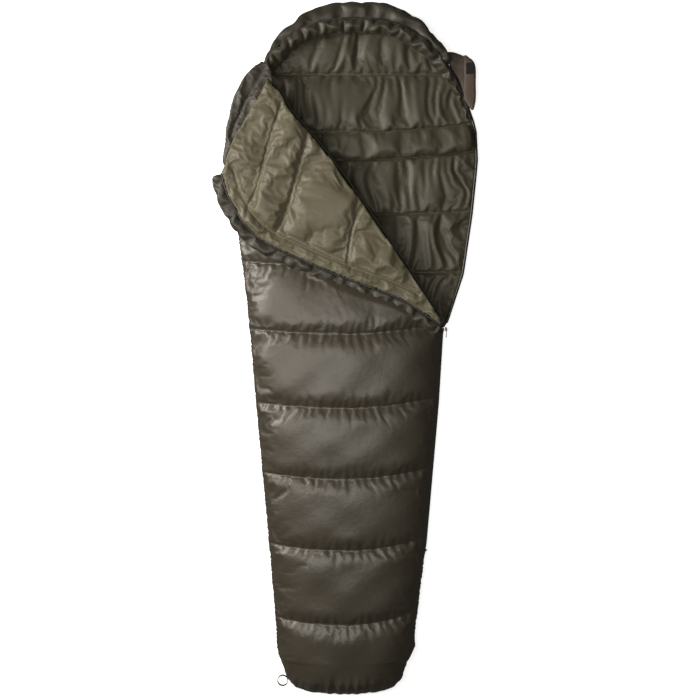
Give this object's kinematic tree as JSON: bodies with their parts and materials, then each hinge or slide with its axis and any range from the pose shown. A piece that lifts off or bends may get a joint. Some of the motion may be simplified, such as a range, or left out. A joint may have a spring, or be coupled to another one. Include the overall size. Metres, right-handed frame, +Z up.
{
  "type": "mummy sleeping bag",
  "caption": "Padded mummy sleeping bag with a shaped hood, quilted channels and a side zip, its top panel unzipped and folded back as a hinged flap.",
  "frame": {"origin": "on the floor, under the middle of the bag's outline as it lies on its back", "axes": "+Y runs from the foot to the hood, +Z is up, away from the floor, and +X is towards the side with the zip"},
  "size_m": [0.8269, 2.2005, 0.1559],
  "materials": {
    "shell_fabric": "satin",
    "lining_fabric": "satin",
    "insulation": "matte",
    "zip_tape": "matte",
    "zip_coil": "gloss",
    "zip_metal": "satin",
    "cord": "matte",
    "eyelet": "satin",
    "touch_fastener": "matte",
    "lock_plastic": "matte",
    "spring_steel": "satin",
    "webbing": "matte"
  },
  "bodies": {
    "bag": {"back_shell": "shell_fabric", "top_shell": "shell_fabric", "side_shell": "shell_fabric", "foot_shell": "shell_fabric", "hood_shell": "shell_fabric", "back_insulation": "insulation", "top_insulation": "insulation", "side_insulation": "insulation", "foot_insulation": "insulation", "hood_insulation": "insulation", "back_lining": "lining_fabric", "top_lining": "lining_fabric", "side_lining": "lining_fabric", "foot_lining": "lining_fabric", "hood_lining": "lining_fabric", "back_collar": "lining_fabric", "hood_rim_tube": "lining_fabric", "hood_drawcord": "cord", "cord_end": "cord", "cord_eyelet": "eyelet", "zip_tape_closed": "zip_tape", "zip_tape_back": "zip_tape", "zip_coil_closed": "zip_coil", "zip_coil_back": "zip_coil", "zip_bottom_stop": "zip_metal", "hang_loop": "webbing"},
    "flap": {"flap_shell": "shell_fabric", "flap_insulation": "insulation", "flap_lining": "lining_fabric", "flap_collar": "lining_fabric", "zip_draft_tube": "lining_fabric", "zip_tape_flap": "zip_tape", "zip_coil_flap": "zip_coil", "loop_patch": "touch_fastener"},
    "slider": {"zip_slider": "zip_metal"},
    "pull": {"zip_pull": "zip_metal"},
    "cord_lock": {"lock_barrel": "lock_plastic", "lock_spring": "spring_steel"},
    "button": {"lock_button": "lock_plastic"},
    "guard_tab": {"zip_guard_tab": "shell_fabric", "hook_patch": "touch_fastener"}
  },
  "joints": [
    {"name": "flap_fold", "type": "hinge", "parent": "bag", "child": "flap", "pos_m": [0.304, 0.079, 0.088], "axis": [-0.5519, 0.8338, 0.0177], "range_deg": [0, 184], "deforming": ["back_collar", "flap_collar"]},
    {"name": "slider_travel", "type": "slide", "parent": "bag", "child": "slider", "axis": [-0.088, -0.9961, 0], "range_m": [0, 0.69]},
    {"name": "pull_swing", "type": "hinge", "parent": "slider", "child": "pull", "pos_m": [0.31249, 0.06831, 0.036], "axis": [0, 0, 1], "range_deg": [0, 150]},
    {"name": "lock_travel", "type": "slide", "parent": "bag", "child": "cord_lock", "axis": [-0.8601, -0.5101, 0], "range_m": [0, 0.025]},
    {"name": "lock_press", "type": "slide", "parent": "cord_lock", "child": "button", "axis": [0, 0, -1], "range_m": [0, 0.004], "stiffness_N_per_m": 400, "springref_m": -0.001, "deforming": ["lock_spring"]},
    {"name": "tab_fold", "type": "hinge", "parent": "bag", "child": "guard_tab", "pos_m": [0.366, 0.852, 0.0422], "axis": [0, -1, 0], "range_deg": [0, 150]}
  ]
}
